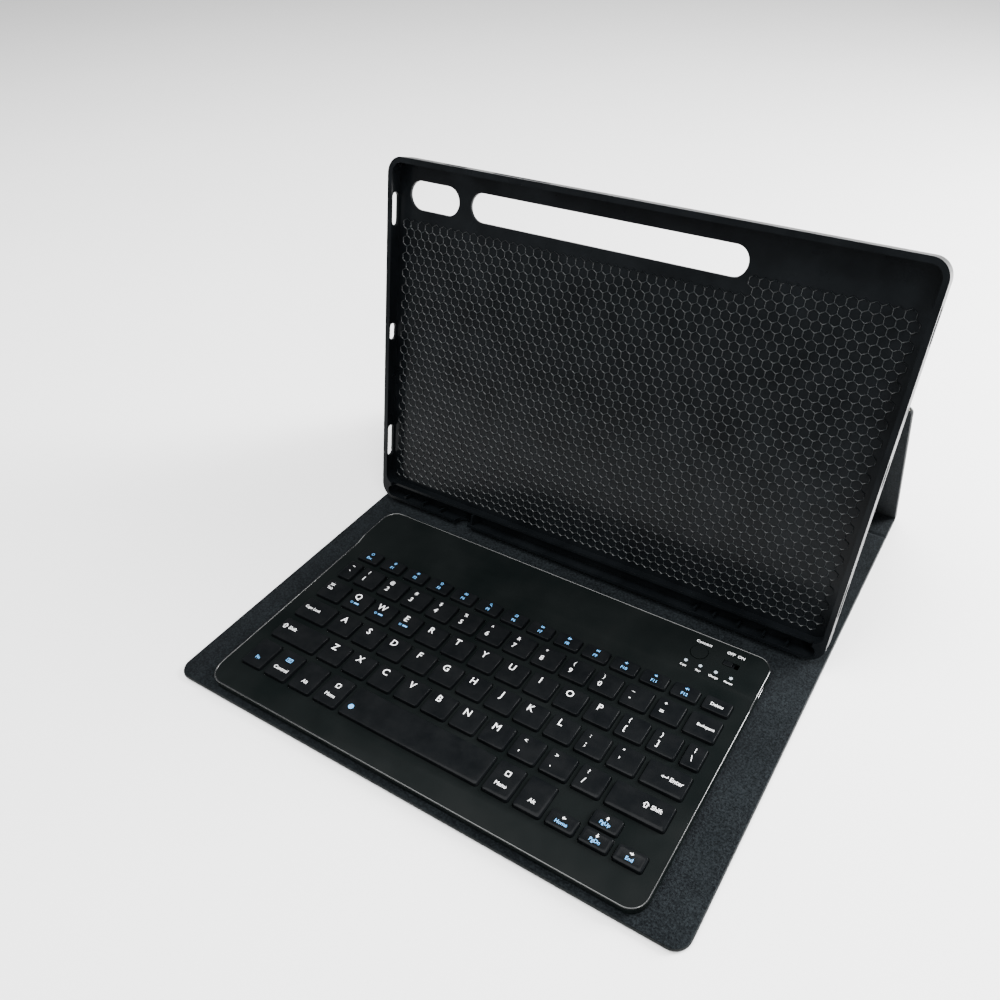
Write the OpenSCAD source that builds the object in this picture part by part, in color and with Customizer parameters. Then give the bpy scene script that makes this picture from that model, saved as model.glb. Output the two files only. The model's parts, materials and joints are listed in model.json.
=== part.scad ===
// Tablet keyboard case: folding cover, tablet tray and a wireless keyboard held by magnets.
// Millimetres. +X to the user's right, +Y away from the user, +Z up.
// Origin: centre of the standing case's footprint, on the table.

/* [Cover] */
// Width of the folding cover
cover_w = 292; // [290:1:304]
// Depth of the base panel from its front edge to the rear fold
base_d = 303.4; // [298:0.2:315]
// Thickness of every cover panel
cover_t = 3; // [2.8:0.1:3.6]
// Thickness of the outer synthetic leather
skin_t = 0.8; // [0.5:0.1:0.9]
// Thickness of the soft inner lining
lining_t = 0.7; // [0.4:0.1:0.8]
// Width of the turned-over leather edge
hem_w = 1.6; // [1.2:0.1:3]
// Radius of the two front corners
front_r = 8; // [4:0.5:14]
// Depth of the stiff strip beside the rear fold
spine_d = 16; // [12:1:20]

/* [Tray] */
// Outer width of the tray
tray_w = 288.6; // [286:0.2:290]
// Outer height of the tray along its own face
tray_h = 196; // [194:0.5:200]
// Depth of the tray from back to rim
tray_t = 10; // [9:0.5:12]
// Lean of the tray back from upright
tray_lean = 16.9; // [14:0.1:20]
// Distance of the tray's rim foot behind the cover's front edge
tray_y = 165.8; // [163:0.2:175]
// Height up the tray where the prop panel is hinged
prop_v = 133.5; // [125:0.5:138]
// Thickness of the tray's walls and back
tray_wall = 1.6; // [1.2:0.1:2]
// Width of the pen channel along the tray's foot
pen_w = 6.4; // [5.5:0.1:7]

/* [Keyboard] */
// Width of the keyboard
board_w = 249.5; // [249:0.5:254]
// Depth of the keyboard
board_d = 149.4; // [149:0.2:152]
// Height of the key deck above the keyboard's underside
deck_h = 5.2; // [5:0.1:6]
// Rise of the rear electronics housing over the key deck
hump_rise = 1.5; // [1.3:0.1:3]
// Fall of the deck at the front edge
front_drop = 1.6; // [0.8:0.1:1.8]
// Wall thickness of the keyboard shells
wall_t = 1.4; // [1:0.1:1.6]
// Thickness of the deck plate
deck_t = 1.3; // [1:0.1:1.4]
// Rise of the key tops over the deck
key_rise = 1.6; // [1.4:0.1:2.4]
// Travel of a key
key_travel = 1.2; // [0.8:0.1:1.3]

/* [Fits] */
// Air between pieces that move apart
gap = 0.3; // [0.2:0.05:0.35]

/* [Hidden] */
$fn = 64;
eps = 0.02;
core_t = cover_t - skin_t - lining_t;
crease = 4;

// standing geometry: the tray's back is hinged to the prop panel
bond_t = 0.3;
tray_z = cover_t + gap + tray_t * sin(tray_lean);
hinge_y = tray_y + prop_v * sin(tray_lean) + (tray_t + bond_t) * cos(tray_lean);
hinge_z = tray_z + prop_v * cos(tray_lean) - (tray_t + bond_t) * sin(tray_lean);
prop_angle = atan2(hinge_z - cover_t, base_d - hinge_y);
prop_len = norm([hinge_z - cover_t, base_d - hinge_y]);
setback = cover_t * tan((90 + tray_lean - prop_angle) / 2) + gap / 2;
total_d = base_d + gap * cos(180 - prop_angle) + cover_t * sin(prop_angle);
front_y = -total_d / 2;

// bonding panel on the tray's back
bond_w = 284;
bond_d = 33;

// tray inside
rim_lip = 1.2;
lip_t = 1;
divider_v = tray_wall + pen_w;
divider_w = 1.4;
divider_drop = 3.2;
cavity_v = divider_v + divider_w;
tray_r = 9;

// keyboard
kb_y = 3.6;
kb_r = 9;
floor_t = 1;
split_h = 1.3;
hump_h = deck_h + hump_rise;
hump_y0 = 116;
hump_y1 = 122;
slope_d = 12;
magnet_size = [24, 5.6, 1.1];
magnet_xs = [30, 195.5];
magnet_ys = [3.6, 141.2];
screw_points = [for (x = [4.6, board_w - 4.6], y = [14, 62, 110]) [x, y], [7.5, 141], [board_w - 7.5, 141]];
light_xs = [209.3, 217.3, 225.7, 233.8];
light_y = 128.5;
button_at = [213, 136.6];
button_r = 4.5;
switch_at = [226.4, 136.6];
switch_travel = 3.4;
knob_size = [4.6, 3];
port_y = 130.5;
port_z = 3.5;
port_size = [7.6, 8.8, 3];

// keys: cap plan is a little wider than the key top
cap_grow = 0.4;
flange = 0.7;
flange_t = 0.6;
cap_r = 1.6;
key_z0 = deck_h - deck_t - gap - flange_t;
key_right = 241.3;
key_left = 9.7;
col = 17.045;
narrow_col = 16.76;
key_w = 13.8;
narrow_w = 13.4;
// front edge and depth of each row, from the space-bar row to the function row
row_y = [15.7, 36.7, 54.2, 71.3, 88.5, 105.6];
row_d = [16.8, 13, 12.9, 12.8, 12.9, 7.9];
half_d = 7.5;
half_rise = 9.2;
// right edges of the first letter-pitch key in rows 1 to 4
first_right = [0, 55.7, 46.9, 41.7, 35.1];
bottom_left_rights = [22.1, 38.9, 55.6, 72.5];
space_span = [76, 158.1];
bottom_right_rights = [174.75, 191.4];
arrow_rights = [208.1, 224.75, 241.3];

leather_colour = [0.03, 0.03, 0.035];
lining_colour = [0.05, 0.05, 0.06];
core_colour = [0.55, 0.5, 0.42];
tray_colour = [0.06, 0.06, 0.065];
shell_colour = [0.04, 0.04, 0.045];
key_colour = [0.05, 0.05, 0.055];
metal_colour = [0.7, 0.7, 0.72];
circuit_colour = [0.1, 0.35, 0.2];

// ---------- placing ----------
module in_base() {
  translate([0, front_y, 0])
    children();
}

// origin on the rear fold, Y up the prop panel, Z out of its lining
module in_prop() {
  translate([0, front_y + base_d, cover_t])
    rotate([180 - prop_angle, 0, 0])
      children();
}

// origin on the rim at the tray's foot, Y up the tray, Z out of the rim
module in_tray() {
  translate([0, front_y + tray_y, tray_z])
    rotate([90 - tray_lean, 0, 0])
      children();
}

// origin at the keyboard's front left corner, on its underside
module in_keyboard() {
  translate([-board_w / 2, front_y + kb_y, cover_t + gap])
    children();
}

// ---------- plan shapes ----------
// rounded rectangle from y = 0, with separate front and rear radii
module panel_plan(w, d, r_front, r_rear) {
  translate([-w / 2, r_front])
    square([w, d - r_front - r_rear]);
  translate([-w / 2 + r_front, 0])
    square([w - 2 * r_front, r_front + eps]);
  translate([-w / 2 + r_rear, d - r_rear - eps])
    square([w - 2 * r_rear, r_rear + eps]);
  for (side = [-1, 1]) {
    translate([side * (w / 2 - r_front), r_front])
      circle(r_front);
    translate([side * (w / 2 - r_rear), d - r_rear])
      circle(r_rear);
  }
}

// rounded rectangle with its lower left corner at the origin
module rounded_plan(w, d, r) {
  translate([w / 2, 0])
    panel_plan(w, d, r, r);
}

// straight slot with round ends, centred
module slot_plan(length, width) {
  square([length - width, width], center = true);
  for (side = [-1, 1])
    translate([side * (length - width) / 2, 0])
      circle(width / 2);
}

// leather tray of a panel: outer sheet with its turned-over hem
module panel_skin(w, d, r_front, r_rear) {
  difference() {
    linear_extrude(cover_t)
      panel_plan(w, d, r_front, r_rear);
    translate([0, hem_w, skin_t])
      linear_extrude(cover_t)
        panel_plan(w - 2 * hem_w, d - 2 * hem_w, r_front - hem_w / 2, 1);
  }
}

module panel_lining(w, d, r_front) {
  translate([0, hem_w, cover_t - lining_t])
    linear_extrude(lining_t)
      panel_plan(w - 2 * hem_w, d - 2 * hem_w, r_front - hem_w / 2, 1);
}

module panel_core(w, d, y0, r_front) {
  translate([0, y0, skin_t])
    linear_extrude(core_t)
      panel_plan(w - 2 * hem_w, d, r_front, 1);
}

// ---------- base ----------
base_len = base_d - gap;
spine_y = base_len - hem_w - spine_d;
core_len = spine_y - crease - hem_w;

module base_skin() {
  color(leather_colour)
    in_base()
      panel_skin(cover_w, base_len, front_r, 2);
}

module base_board() {
  color(core_colour)
    in_base()
      difference() {
        panel_core(cover_w, core_len, hem_w, front_r - hem_w / 2);
        for (x = magnet_xs, y = magnet_ys)
          translate([x - board_w / 2 - 0.1, kb_y + y - 0.1, skin_t - eps])
            cube([magnet_size[0] + 0.2, magnet_size[1] + 0.2, cover_t]);
      }
}

module spine_board() {
  color(core_colour)
    in_base()
      panel_core(cover_w, spine_d, spine_y, 1);
}

module base_magnets() {
  color(metal_colour)
    in_base()
      for (x = magnet_xs, y = magnet_ys)
        translate([x - board_w / 2, kb_y + y, skin_t])
          cube([magnet_size[0], magnet_size[1], core_t]);
}

module base_lining() {
  color(lining_colour)
    in_base()
      panel_lining(cover_w, base_len, front_r);
}

// ---------- prop ----------
prop_d = prop_len - gap - setback;

module prop_skin() {
  color(leather_colour)
    in_prop()
      translate([0, gap, -cover_t])
        panel_skin(cover_w, prop_d, 2, 6);
}

module prop_board() {
  color(core_colour)
    in_prop()
      translate([0, gap, -cover_t])
        panel_core(cover_w, prop_d - 2 * hem_w, hem_w, 1);
}

module prop_lining() {
  color(lining_colour)
    in_prop()
      translate([0, gap, -cover_t])
        panel_lining(cover_w, prop_d, 2);
}

// ---------- panel bonded to the tray ----------
module bond_skin() {
  color(leather_colour)
    in_tray()
      translate([0, prop_v + setback, -tray_t - bond_t - cover_t])
        panel_skin(bond_w, bond_d, 2, 4);
}

module bond_board() {
  color(core_colour)
    in_tray()
      translate([0, prop_v + setback + hem_w, -tray_t - bond_t - cover_t + skin_t])
        linear_extrude(cover_t - skin_t)
          panel_plan(bond_w - 2 * hem_w, bond_d - 2 * hem_w, 1, 1);
}

module bond_tape() {
  color(metal_colour)
    in_tray()
      translate([0, prop_v + setback + 2 * hem_w, -tray_t - bond_t])
        linear_extrude(bond_t)
          panel_plan(bond_w - 4 * hem_w, bond_d - 4 * hem_w, 1, 1);
}

// ---------- tray ----------
// a straight cut through a side wall: side, centre height, length, and depth span from the rim
module side_cut(side, v, length, w_top, w_bottom) {
  translate([side * tray_w / 2, v, -(w_top + w_bottom) / 2])
    rotate([90, 0, 90])
      linear_extrude(4 * tray_wall, center = true)
        slot_plan(length, w_bottom - w_top);
}

module top_cut(u0, u1, w_top, w_bottom) {
  translate([(u0 + u1) / 2 - tray_w / 2, tray_h, -(w_top + w_bottom) / 2])
    rotate([90, 0, 0])
      linear_extrude(4 * tray_wall, center = true)
        slot_plan(u1 - u0, w_bottom - w_top);
}

module pen_rib(u, rise) {
  translate([u - tray_w / 2 - 0.6, tray_wall - eps, -tray_t + tray_wall - eps])
    cube([1.2, rise, tray_t - tray_wall - 1]);
}

module tray_shell() {
  color(tray_colour)
    in_tray()
      difference() {
        union() {
          difference() {
            translate([0, 0, -tray_t])
              linear_extrude(tray_t)
                panel_plan(tray_w, tray_h, tray_r, tray_r);
            // tablet space, then the narrower mouth inside the lip
            translate([0, cavity_v, -tray_t + tray_wall])
              linear_extrude(tray_t - tray_wall - lip_t)
                panel_plan(tray_w - 2 * tray_wall, tray_h - tray_wall - cavity_v, 7, 7);
            translate([0, cavity_v, -lip_t - eps])
              linear_extrude(lip_t + 2 * eps)
                panel_plan(tray_w - 2 * tray_wall - 2 * rim_lip,
                           tray_h - tray_wall - rim_lip - cavity_v, 6, 6);
            // pen channel
            translate([0, tray_wall, -tray_t + tray_wall])
              linear_extrude(tray_t)
                panel_plan(tray_w - 2 * tray_wall - 6, pen_w, 3, 3);
            // lowered top of the divider
            translate([0, divider_v - eps, -divider_drop])
              linear_extrude(tray_t)
                panel_plan(tray_w - 2 * tray_wall - 2 * rim_lip - 8, divider_w + 2 * eps + 2, 0.5, 0.5);
          }
          for (u = [17.5, 31.5, 45, 217, 228, 242, 256, 269])
            pen_rib(u, 2.2);
          pen_rib(69, pen_w + 2 * eps);
        }
        // camera window and pen parking window
        translate([25.2 - tray_w / 2, 178.3, -tray_t - 1])
          linear_extrude(tray_wall + 2)
            slot_plan(32.4, 14.4);
        translate([126 - tray_w / 2, 178.3, -tray_t - 1])
          linear_extrude(tray_wall + 2)
            slot_plan(154, 14.2);
        // speakers, charging port and sensors
        side_cut(-1, 169.5, 17, 2.4, 7.2);
        side_cut(-1, 103.2, 9.6, 2.2, 7.4);
        side_cut(-1, 36, 20, 2.4, 7.2);
        side_cut(1, 169.5, 17, 2.4, 7.2);
        side_cut(1, 103.2, 13, 2.4, 7.2);
        side_cut(1, 36, 20, 2.4, 7.2);
        top_cut(33, 48, 2.6, 6.6);
        top_cut(64, 98, 2.6, 6.6);
        // finger notch in the pen channel's outer wall
        translate([62 - tray_w / 2, 0, -2.5])
          rotate([90, 0, 0])
            linear_extrude(4 * tray_wall, center = true)
              union() {
                circle(4.5);
                translate([-4.5, 0])
                  square([9, tray_t]);
              }
      }
}

// ---------- keyboard shells ----------
// side profile extruded across the keyboard
module across(points) {
  translate([-1, 0, 0])
    rotate([90, 0, 90])
      linear_extrude(board_w + 2)
        polygon(points);
}

// underside of the deck or of the rear housing at a distance from the front edge
function ceiling_at(y) = (y > hump_y1 ? hump_h : deck_h) - deck_t;

outer_profile = [
  [-1, split_h],
  [-1, deck_h - front_drop],
  [0.8, deck_h - front_drop + 0.5],
  [slope_d, deck_h],
  [hump_y0, deck_h],
  [hump_y1, hump_h],
  [board_d - 0.8, hump_h],
  [board_d + 1, hump_h - 1.4],
  [board_d + 1, split_h],
];

inner_profile = [
  [-1, split_h - 1],
  [-1, deck_h - front_drop - deck_t],
  [slope_d, deck_h - deck_t],
  [hump_y0 - 0.3, deck_h - deck_t],
  [hump_y1 - 0.3, hump_h - deck_t],
  [board_d + 1, hump_h - deck_t],
  [board_d + 1, split_h - 1],
];

module keyboard_top() {
  color(shell_colour)
    in_keyboard()
      difference() {
        union() {
          difference() {
            intersection() {
              linear_extrude(hump_h + 1)
                rounded_plan(board_w, board_d, kb_r);
              across(outer_profile);
            }
            intersection() {
              translate([wall_t, wall_t, 0])
                linear_extrude(hump_h + 1)
                  rounded_plan(board_w - 2 * wall_t, board_d - 2 * wall_t, kb_r - wall_t);
              across(inner_profile);
            }
          }
          for (p = screw_points)
            translate([p[0], p[1], split_h])
              cylinder(d = 4.2, h = ceiling_at(p[1]) - split_h + 0.2);
        }
        for (p = screw_points)
          translate([p[0], p[1], split_h - 1])
            cylinder(r = 0.85, h = deck_h - deck_t - split_h + 0.6);
        translate([0, 0, deck_h - deck_t - 1])
          linear_extrude(deck_t + 3)
            all_key_holes();
        // windows, button and switch on the rear housing
        for (x = light_xs)
          translate([x, light_y, hump_h - deck_t - 1])
            cylinder(r = 0.95, h = deck_t + 2);
        translate([button_at[0], button_at[1], hump_h - deck_t - 1])
          cylinder(r = button_r + gap, h = deck_t + 2);
        translate([switch_at[0] + (knob_size[0] + switch_travel) / 2, switch_at[1], hump_h - deck_t - 1])
          linear_extrude(deck_t + 2)
            square([knob_size[0] + switch_travel + 2 * gap, knob_size[1] + 2 * gap], center = true);
        // charging port
        translate([board_w, port_y, port_z])
          rotate([90, 0, 90])
            linear_extrude(2 * wall_t + 1, center = true)
              slot_plan(port_size[1] + 0.1, port_size[2] + 0.1);
      }
}

module keyboard_bottom() {
  color(shell_colour)
    in_keyboard()
      difference() {
        union() {
          linear_extrude(floor_t)
            rounded_plan(board_w, board_d, kb_r);
          translate([0, 0, floor_t - eps])
            linear_extrude(split_h - floor_t + eps)
              difference() {
                rounded_plan(board_w, board_d, kb_r);
                translate([wall_t, wall_t])
                  rounded_plan(board_w - 2 * wall_t, board_d - 2 * wall_t, kb_r - wall_t);
              }
        }
        for (p = screw_points)
          translate([p[0], p[1], -eps]) {
            cylinder(r = 1.95, h = 0.6);
            cylinder(r = 1.1, h = floor_t + 1);
          }
      }
}

module case_screws() {
  color(metal_colour)
    in_keyboard()
      for (p = screw_points)
        translate([p[0], p[1], 0]) {
          translate([0, 0, 0.1])
            cylinder(r = 1.8, h = 0.45);
          translate([0, 0, 0.5])
            cylinder(r = 0.8, h = 3);
        }
}

module key_sheet() {
  color(metal_colour)
    in_keyboard()
      translate([8.6, 13.5, floor_t])
        linear_extrude(0.5)
          rounded_plan(board_w - 17.2, 102, 1);
}

module battery() {
  color(metal_colour)
    in_keyboard()
      translate([20, 121.5, floor_t])
        cube([92, 18, 3.4]);
}

module circuit_board() {
  color(circuit_colour)
    in_keyboard()
      translate([118, 120.5, floor_t + 0.1])
        cube([128, 16.5, 0.8]);
}

module keyboard_magnets() {
  color(metal_colour)
    in_keyboard()
      for (x = magnet_xs, y = magnet_ys)
        translate([x, y, floor_t])
          cube(magnet_size);
}

module status_lights() {
  color([0.6, 0.75, 0.9])
    in_keyboard()
      for (x = light_xs)
        translate([x, light_y, floor_t + 0.9])
          cylinder(r = 0.9, h = hump_h - floor_t - 0.9);
}

module charging_port() {
  color(metal_colour)
    in_keyboard()
      translate([board_w - port_size[0], port_y, port_z])
        rotate([90, 0, 90])
          difference() {
            linear_extrude(port_size[0] - 0.2)
              slot_plan(port_size[1], port_size[2]);
            translate([0, 0, 1])
              linear_extrude(port_size[0])
                difference() {
                  slot_plan(port_size[1] - 0.6, port_size[2] - 0.6);
                  square([6.4, 0.7], center = true);
                }
          }
}

module connect_button() {
  color(shell_colour)
    in_keyboard()
      translate([button_at[0], button_at[1], 0]) {
        translate([0, 0, hump_h - deck_t - 0.8])
          cylinder(r = button_r + 0.7, h = 0.5);
        translate([0, 0, hump_h - deck_t - 0.4])
          cylinder(r = button_r, h = deck_t + 0.8);
        translate([0, 0, floor_t + 1.9])
          cylinder(r = 1.4, h = hump_h - deck_t - 0.6 - floor_t - 1.9);
      }
}

module power_switch() {
  color(key_colour)
    in_keyboard()
      translate([switch_at[0], switch_at[1], 0]) {
        translate([-1.2, -knob_size[1] / 2 - 0.8, hump_h - deck_t - 1])
          cube([knob_size[0] + 2.4, knob_size[1] + 1.6, 0.7]);
        translate([0, -knob_size[1] / 2, hump_h - deck_t - 0.4])
          cube([knob_size[0], knob_size[1], deck_t + 0.7]);
      }
}

// ---------- keys ----------
// plan of one key: right edge and front edge of its top, width and depth
module key_plan(right, front, w, d, grow) {
  translate([right - w - grow, front - grow])
    rounded_plan(w + 2 * grow, d + 2 * grow, cap_r);
}

module key_body(right, front, w, d) {
  color(key_colour)
    in_keyboard()
      difference() {
        union() {
          translate([0, 0, key_z0])
            linear_extrude(deck_h + key_rise - key_z0)
              key_plan(right, front, w, d, cap_grow);
          translate([right - w - cap_grow - flange, front + 1.2, key_z0])
            cube([w + 2 * cap_grow + 2 * flange, d - 2.4, flange_t]);
        }
        translate([right - w + 0.9, front + 0.9, key_z0 - eps])
          cube([w - 1.8, d - 1.8, 2]);
      }
}

// key table entries are [right edge, row, width, front offset, depth]
function letter_key(row, i) = [first_right[row] + i * col, row, key_w, 0, row_d[row]];
function row_key(row, right, w) = [right, row, w, 0, row_d[row]];
function half_key(right, upper) = [right, 0, narrow_w, upper ? half_rise : 0, half_d];

tab_table = [row_key(3, 24.65, 24.65 - key_left)];
caps_table = [row_key(2, 29.8, 29.8 - key_left)];
shift_table = [row_key(1, 38.7, 38.7 - key_left), row_key(1, key_right, 28.9)];
enter_table = [row_key(2, key_right, 20.7)];
backspace_table = [row_key(4, key_right, 15.4)];
space_table = [row_key(0, space_span[1], space_span[1] - space_span[0])];
function_table = [for (i = [0:13]) row_key(5, key_right - i * narrow_col, narrow_w)];
number_table = concat([row_key(4, 18.05, 18.05 - key_left)], [for (i = [0:11]) letter_key(4, i)]);
symbol_table = concat(
  [for (i = [10, 11]) letter_key(3, i)],
  [row_key(3, key_right, 8.8)],
  [for (i = [9, 10]) letter_key(2, i)],
  [for (i = [7, 8, 9]) letter_key(1, i)]);
modifier_table = concat(
  [row_key(0, bottom_left_rights[0], bottom_left_rights[0] - key_left)],
  [for (i = [1:3]) row_key(0, bottom_left_rights[i], narrow_w)],
  [for (right = bottom_right_rights) row_key(0, right, narrow_w)]);
arrow_table = [
  half_key(arrow_rights[0], false),
  half_key(arrow_rights[1], true),
  half_key(arrow_rights[1], false),
  half_key(arrow_rights[2], false),
];
letter_table = concat(
  [for (i = [0:9]) letter_key(3, i)],
  [for (i = [0:8]) letter_key(2, i)],
  [for (i = [0:6]) letter_key(1, i)]);
key_tables = [tab_table, caps_table, shift_table, enter_table, backspace_table, space_table,
              function_table, number_table, symbol_table, modifier_table, arrow_table, letter_table];

module key_group(table) {
  for (k = table)
    key_body(k[0], row_y[k[1]] + k[3], k[2], k[4]);
}

module all_key_holes() {
  for (table = key_tables, k = table)
    key_plan(k[0], row_y[k[1]] + k[3], k[2], k[4], cap_grow + gap);
}

module space_key() {
  key_group(space_table);
}

module enter_key() {
  key_group(enter_table);
}

module backspace_key() {
  key_group(backspace_table);
}

module tab_key() {
  key_group(tab_table);
}

module caps_lock_key() {
  key_group(caps_table);
}

module shift_keys() {
  key_group(shift_table);
}

module function_keys() {
  key_group(function_table);
}

module number_keys() {
  key_group(number_table);
}

module symbol_keys() {
  key_group(symbol_table);
}

module modifier_keys() {
  key_group(modifier_table);
}

module arrow_keys() {
  key_group(arrow_table);
}

module key_q() {
  key_group([letter_key(3, 0)]);
}

module key_w() {
  key_group([letter_key(3, 1)]);
}

module key_e() {
  key_group([letter_key(3, 2)]);
}

module key_r() {
  key_group([letter_key(3, 3)]);
}

module key_t() {
  key_group([letter_key(3, 4)]);
}

module key_y() {
  key_group([letter_key(3, 5)]);
}

module key_u() {
  key_group([letter_key(3, 6)]);
}

module key_i() {
  key_group([letter_key(3, 7)]);
}

module key_o() {
  key_group([letter_key(3, 8)]);
}

module key_p() {
  key_group([letter_key(3, 9)]);
}

module key_a() {
  key_group([letter_key(2, 0)]);
}

module key_s() {
  key_group([letter_key(2, 1)]);
}

module key_d() {
  key_group([letter_key(2, 2)]);
}

module key_f() {
  key_group([letter_key(2, 3)]);
}

module key_g() {
  key_group([letter_key(2, 4)]);
}

module key_h() {
  key_group([letter_key(2, 5)]);
}

module key_j() {
  key_group([letter_key(2, 6)]);
}

module key_k() {
  key_group([letter_key(2, 7)]);
}

module key_l() {
  key_group([letter_key(2, 8)]);
}

module key_z() {
  key_group([letter_key(1, 0)]);
}

module key_x() {
  key_group([letter_key(1, 1)]);
}

module key_c() {
  key_group([letter_key(1, 2)]);
}

module key_v() {
  key_group([letter_key(1, 3)]);
}

module key_b() {
  key_group([letter_key(1, 4)]);
}

module key_n() {
  key_group([letter_key(1, 5)]);
}

module key_m() {
  key_group([letter_key(1, 6)]);
}

// Piece to draw, or all of them

base_skin();
base_board();
spine_board();
base_magnets();
base_lining();
prop_skin();
prop_board();
prop_lining();
bond_skin();
bond_board();
bond_tape();
tray_shell();
keyboard_top();
keyboard_bottom();
case_screws();
key_sheet();
battery();
circuit_board();
keyboard_magnets();
status_lights();
charging_port();
connect_button();
power_switch();
space_key();
enter_key();
backspace_key();
tab_key();
caps_lock_key();
shift_keys();
function_keys();
number_keys();
symbol_keys();
modifier_keys();
arrow_keys();
key_q();
key_w();
key_e();
key_r();
key_t();
key_y();
key_u();
key_i();
key_o();
key_p();
key_a();
key_s();
key_d();
key_f();
key_g();
key_h();
key_j();
key_k();
key_l();
key_z();
key_x();
key_c();
key_v();
key_b();
key_n();
key_m();
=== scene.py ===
"""Looks of the tablet keyboard case: leather cover, suede lining, moulded tray and keyboard.

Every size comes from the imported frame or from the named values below. Units are metres, written as
millimetres times MM.
"""

import json
import math

import bmesh
import bpy
from mathutils import Matrix, Vector
from mathutils.bvhtree import BVHTree

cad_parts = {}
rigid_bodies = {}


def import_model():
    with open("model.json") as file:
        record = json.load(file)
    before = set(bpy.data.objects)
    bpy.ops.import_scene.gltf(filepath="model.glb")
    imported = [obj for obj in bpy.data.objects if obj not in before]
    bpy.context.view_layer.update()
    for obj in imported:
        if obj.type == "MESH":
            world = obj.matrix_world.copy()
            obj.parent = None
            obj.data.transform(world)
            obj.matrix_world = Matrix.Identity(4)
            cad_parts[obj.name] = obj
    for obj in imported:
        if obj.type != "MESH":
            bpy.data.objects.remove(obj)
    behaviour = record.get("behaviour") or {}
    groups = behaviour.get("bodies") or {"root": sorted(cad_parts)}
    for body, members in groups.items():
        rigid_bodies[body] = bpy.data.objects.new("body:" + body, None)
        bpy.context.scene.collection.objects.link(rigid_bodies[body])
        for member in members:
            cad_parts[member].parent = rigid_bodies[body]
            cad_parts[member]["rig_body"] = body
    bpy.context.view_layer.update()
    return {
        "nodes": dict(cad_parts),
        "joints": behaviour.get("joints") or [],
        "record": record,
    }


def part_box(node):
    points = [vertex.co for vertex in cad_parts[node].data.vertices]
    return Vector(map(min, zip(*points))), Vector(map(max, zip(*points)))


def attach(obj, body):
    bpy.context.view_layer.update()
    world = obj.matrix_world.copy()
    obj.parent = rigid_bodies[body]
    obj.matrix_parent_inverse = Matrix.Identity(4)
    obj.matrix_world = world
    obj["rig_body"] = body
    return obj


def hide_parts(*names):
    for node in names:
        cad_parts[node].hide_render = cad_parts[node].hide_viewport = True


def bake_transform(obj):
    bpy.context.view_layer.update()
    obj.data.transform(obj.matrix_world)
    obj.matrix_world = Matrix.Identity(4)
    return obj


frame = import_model()
nodes = frame["nodes"]
joints = {j["name"]: j for j in frame["joints"]}
record = frame["record"]

MM = 0.001
SCENE = bpy.context.scene


# ---------- what the frame says ----------
def corners(node):
    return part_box(node)


base_low, base_high = corners("base_skin")
cover_t = base_high.z - base_low.z
half_w = base_high.x
prop_fold = Vector(joints["prop_hinge"]["pos_m"])
tray_fold = Vector(joints["tray_hinge"]["pos_m"])
prop_axis = (tray_fold - prop_fold).normalized()
prop_len = (tray_fold - prop_fold).length
prop_normal = Vector((0, -prop_axis.z, prop_axis.y))

seat = next(m for m in record["mounts"] if m["name"] == "tablet_seat")
tray_normal = Vector(seat["axis"]).normalized()
tray_up = Vector((0, tray_normal.z, -tray_normal.y))
deck_low, deck_high = corners("keyboard_top")


# ---------- mesh helpers ----------
def link(obj):
    SCENE.collection.objects.link(obj)
    return obj


def object_from(bm, name, material, smooth_angle=40):
    """Turns bm into an object with smooth shading that keeps edges sharper than smooth_angle."""
    bmesh.ops.recalc_face_normals(bm, faces=bm.faces)
    limit = math.radians(smooth_angle)
    for face in bm.faces:
        face.smooth = True
    for edge in bm.edges:
        edge.smooth = len(edge.link_faces) == 2 and edge.calc_face_angle(0) < limit
    mesh = bpy.data.meshes.new(name)
    bm.to_mesh(mesh)
    bm.free()
    mesh.materials.append(material)
    return link(bpy.data.objects.new(name, mesh))


def arc(cx, cy, r, start, stop, steps):
    """Points on an arc, in degrees, ends included."""
    turns = [math.radians(start + (stop - start) * i / steps) for i in range(steps + 1)]
    return [(cx + r * math.cos(t), cy + r * math.sin(t)) for t in turns]


def rounded_loop(x0, y0, x1, y1, radii, steps=8):
    """Counter-clockwise rounded rectangle; radii are front left, front right, rear right, rear left."""
    fl, fr, rr, rl = radii
    return (arc(x0 + fl, y0 + fl, fl, 180, 270, steps) + arc(x1 - fr, y0 + fr, fr, 270, 360, steps)
            + arc(x1 - rr, y1 - rr, rr, 0, 90, steps) + arc(x0 + rl, y1 - rl, rl, 90, 180, steps))


def plate_bmesh(outline, z0, z1, edge, emboss=0, edge_steps=4):
    """A solid plate with rounded edges; outline is (x0, y0, x1, y1, radii).

    With emboss, the lower face steps up by that much along its border, as where leather is pressed
    down round the stiffener inside.
    """
    x0, y0, x1, y1, radii = outline

    def ring(inset, z, least):
        corners_r = [max(r - inset, least) for r in radii]
        loop = rounded_loop(x0 + inset, y0 + inset, x1 - inset, y1 - inset, corners_r)
        return [bm.verts.new((x, y, z)) for x, y in loop]

    bm = bmesh.new()
    least_r = 0.2 * MM
    angles = [math.pi / 2 * i / edge_steps for i in range(edge_steps + 1)]
    turn = [(edge * (1 - math.sin(a)), edge * (1 - math.cos(a))) for a in angles]
    rings = []
    if emboss:
        rings += [ring(BORDER + 2 * emboss, z0, BORDER_R),
                  ring(BORDER + emboss, z0 + 0.25 * emboss, BORDER_R),
                  ring(BORDER, z0 + emboss, BORDER_R)]
    rings += [ring(inset, z0 + emboss + rise, least_r) for inset, rise in turn]
    rings += [ring(inset, z1 - rise, least_r) for inset, rise in reversed(turn)]
    for low, high in zip(rings, rings[1:]):
        for i in range(len(low)):
            j = (i + 1) % len(low)
            bm.faces.new((low[i], low[j], high[j], high[i]))
    bm.faces.new(list(reversed(rings[0])))
    bm.faces.new(rings[-1])
    return bm


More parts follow.
